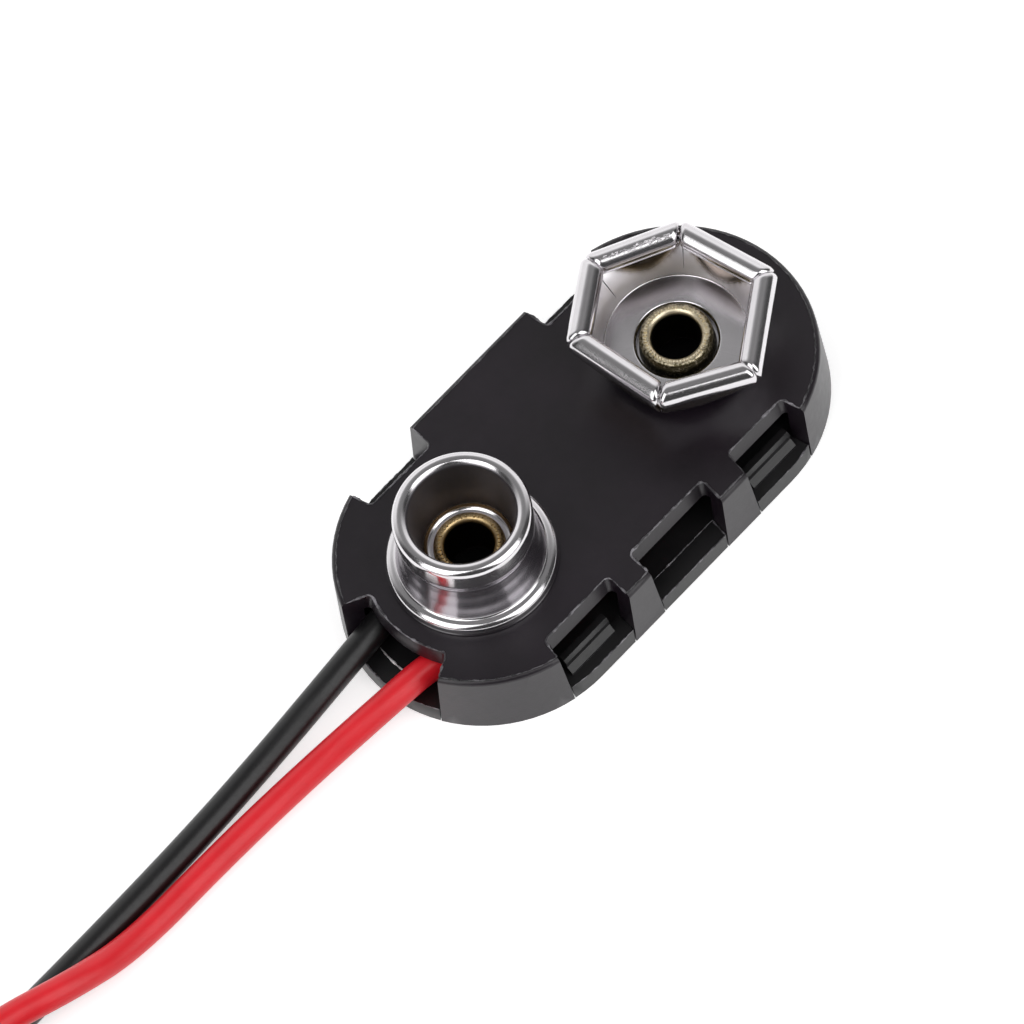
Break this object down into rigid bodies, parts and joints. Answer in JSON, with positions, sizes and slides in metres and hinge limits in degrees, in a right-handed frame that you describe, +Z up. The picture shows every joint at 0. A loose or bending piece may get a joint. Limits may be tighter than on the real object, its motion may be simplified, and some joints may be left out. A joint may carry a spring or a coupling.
{
  "type": "9v battery snap",
  "caption": "Hard-shell 9V battery snap with a rolled stud and a petalled spring socket riveted through a black housing, and a black and a red lead that leave at the stud's end.",
  "frame": {"origin": "on the surface that the housing stands on, midway between the stud's and the socket's axes", "axes": "+Z up, out of the plate that carries the contacts; +X from the stud to the socket, so that the leads leave towards -X"},
  "size_m": [0.0619, 0.0219, 0.0077],
  "materials": {
    "black_housing_plastic": "satin moulded",
    "black_cover_plastic": "satin moulded",
    "plated_stud": "bright nickel plate over drawn sheet",
    "plated_socket": "bright nickel plate over rolled sheet, brushed in the cup",
    "brass_eyelet": "dull rolled brass",
    "plated_tag": "tinned brass sheet",
    "solder": "satin solder",
    "black_insulation": "satin PVC",
    "red_insulation": "satin PVC",
    "tinned_strands": "tinned strands"
  },
  "bodies": {
    "root": {"housing": "black_housing_plastic", "base_cover": "black_cover_plastic", "stud_contact": "plated_stud", "socket_contact": "plated_socket", "stud_rivet": "brass_eyelet", "socket_rivet": "brass_eyelet", "stud_solder_tag": "plated_tag", "socket_solder_tag": "plated_tag", "stud_solder_joint": "solder", "socket_solder_joint": "solder", "black_lead": "black_insulation", "red_lead": "red_insulation", "black_lead_core": "tinned_strands", "red_lead_core": "tinned_strands", "black_lead_coil": "black_insulation", "red_lead_coil": "red_insulation", "black_lead_tinned_end": "tinned_strands", "red_lead_tinned_end": "tinned_strands"}
  },
  "joints": []
}
